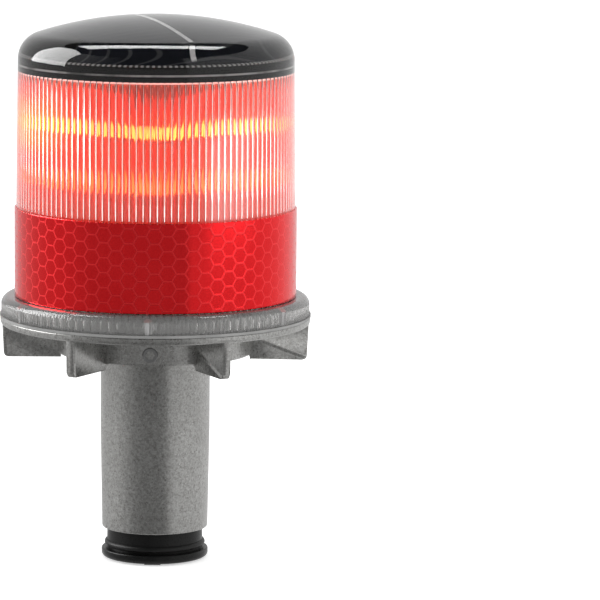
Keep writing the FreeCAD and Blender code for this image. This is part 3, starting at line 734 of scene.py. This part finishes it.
VIEW_TURN = math.radians(3.0)                 # the camera stands a little to the right of -Y
VIEW_TILT = math.radians(8.3)                 # and looks down
VIEW_DISTANCE = 1.527
VIEW_YAW = math.radians(2.042)                # the light stands left of the picture's middle
VIEW_ROLL = math.radians(0.5)                 # and upright in it
AIM_LEVEL = 97.5 * MM
FOCAL_LENGTH = 245.6                          # in camera millimetres, as is the sensor
SENSOR_WIDTH = 36
CARD_RADIUS = 1.6
CARD_HEIGHT = 1.8
CARD_LIFT = 0.3 * MM                          # of the card that lies on the floor
WINDOW_REACH = 1.35                           # from the dome to the left window


def make_camera():
    data = bpy.data.cameras.new("camera")
    data.lens = FOCAL_LENGTH
    data.sensor_width = SENSOR_WIDTH
    camera = new_object("camera", data)
    away = Vector((math.sin(VIEW_TURN) * math.cos(VIEW_TILT),
                   -math.cos(VIEW_TURN) * math.cos(VIEW_TILT), math.sin(VIEW_TILT)))
    camera.location = Vector((0, 0, AIM_LEVEL)) + away * VIEW_DISTANCE
    aim = (-away).to_track_quat("-Z", "Y").to_matrix()
    aim = Matrix.Rotation(-VIEW_YAW, 3, "Z") @ aim @ Matrix.Rotation(VIEW_ROLL, 3, "Z")
    camera.rotation_euler = aim.to_euler()
    bpy.context.scene.camera = camera


def make_floor():
    builder = bmesh.new()
    bmesh.ops.create_grid(builder, x_segments=8, y_segments=8, size=12)
    floor = finish_mesh("floor", builder)
    floor.location.z = -0.05 * MM
    floor.data.materials.append(white_floor())


def hide_from_camera(thing):
    """A card that only shows in glossy reflections."""
    thing.visible_camera = False
    thing.visible_diffuse = False
    thing.visible_transmission = False
    thing.visible_shadow = False


def direction(azimuth, elevation):
    """Unit vector by degrees round from +Y towards +X, and degrees up."""
    azimuth, elevation = math.radians(azimuth), math.radians(elevation)
    return Vector((math.sin(azimuth) * math.cos(elevation),
                   math.cos(azimuth) * math.cos(elevation), math.sin(elevation)))


def window_point(across, up):
    """Azimuth and elevation of a point of the left window, whose top is arched."""
    share = 2 * across - 1
    top = 49 - 7 * share ** 2
    return -81 + 22 * share, 1 + (top - 1) * up


def hang_card(name, builder, material, place=(0, 0, 0)):
    hung = finish_mesh(name, builder)
    hung.location = place
    hung.data.materials.append(material)
    hide_from_camera(hung)


def make_left_window(rows=10, columns=40):
    """A tall softbox card on the left, curved round the dome."""
    centre = Vector((0, 0, TRAY_FOOT))
    builder = bmesh.new()
    grid = []
    for row in range(rows + 1):
        line = []
        for column in range(columns + 1):
            toward = direction(*window_point(column / columns, row / rows))
            line.append(builder.verts.new(centre + toward * WINDOW_REACH))
        grid.append(line)
    for low, high in zip(grid, grid[1:]):
        for index in range(columns):
            builder.faces.new((low[index], low[index + 1], high[index + 1], high[index]))
    hang_card("left_window", builder, card("left_window", 8.0))


def make_cards():
    """The surroundings that show in gloss: a drum of card, a softbox and an overhead panel."""
    builder = bmesh.new()
    lathe_into(builder, [(0.025, CARD_LIFT), (0.95, CARD_LIFT), (CARD_RADIUS, CARD_LIFT),
                         (CARD_RADIUS, CARD_HEIGHT)], 72, closed=False)
    hang_card("surround_card", builder, surround_card())
    builder = bmesh.new()
    bmesh.ops.create_circle(builder, cap_ends=True, segments=72, radius=CARD_RADIUS)
    hang_card("overhead_card", builder, card("overhead_card", 0.05), (0, 0, CARD_HEIGHT + 1 * MM))
    builder = bmesh.new()
    bmesh.ops.create_grid(builder, x_segments=2, y_segments=2, size=1)
    bmesh.ops.scale(builder, verts=builder.verts, vec=(0.85, 0.26, 1))
    hang_card("overhead_panel", builder, card("overhead_panel", 10.0), (-0.10, 0.44, 1.75))
    make_left_window()


def make_area(name, place, size, power):
    data = bpy.data.lights.new(name, "AREA")
    data.shape = "RECTANGLE"
    data.size, data.size_y = size
    data.energy = power
    light = new_object(name, data)
    light.location = place
    toward = Vector((0, 0, 0.1)) - Vector(place)
    light.rotation_euler = toward.to_track_quat("-Z", "Y").to_euler()
    light.visible_glossy = False


def make_world():
    world = bpy.data.worlds.new("studio")
    world.use_nodes = True
    world.node_tree.nodes["Background"].inputs["Color"].default_value = (1, 1, 1, 1)
    world.node_tree.nodes["Background"].inputs["Strength"].default_value = 0.8
    bpy.context.scene.world = world


def make_lights():
    """Two softboxes that light the sides without showing in the gloss."""
    make_area("left_softbox", (-0.95, 0.10, 0.42), (0.55, 0.5), 4)
    make_area("right_softbox", (1.1, -0.1, 0.35), (0.7, 0.5), 5)


def set_look():
    scene = bpy.context.scene
    scene.view_settings.view_transform = "Standard"
    scene.view_settings.look = "None"
    scene.cycles.use_denoising = True
    scene.cycles.max_bounces = 24
    scene.cycles.transmission_bounces = 24
    scene.cycles.glossy_bounces = 8
    scene.cycles.transparent_max_bounces = 16


make_camera()
make_lens()
make_drum()
make_band()
make_casting()
repaint_carried_nodes()
make_floor()
make_cards()
make_lights()
make_world()
set_look()
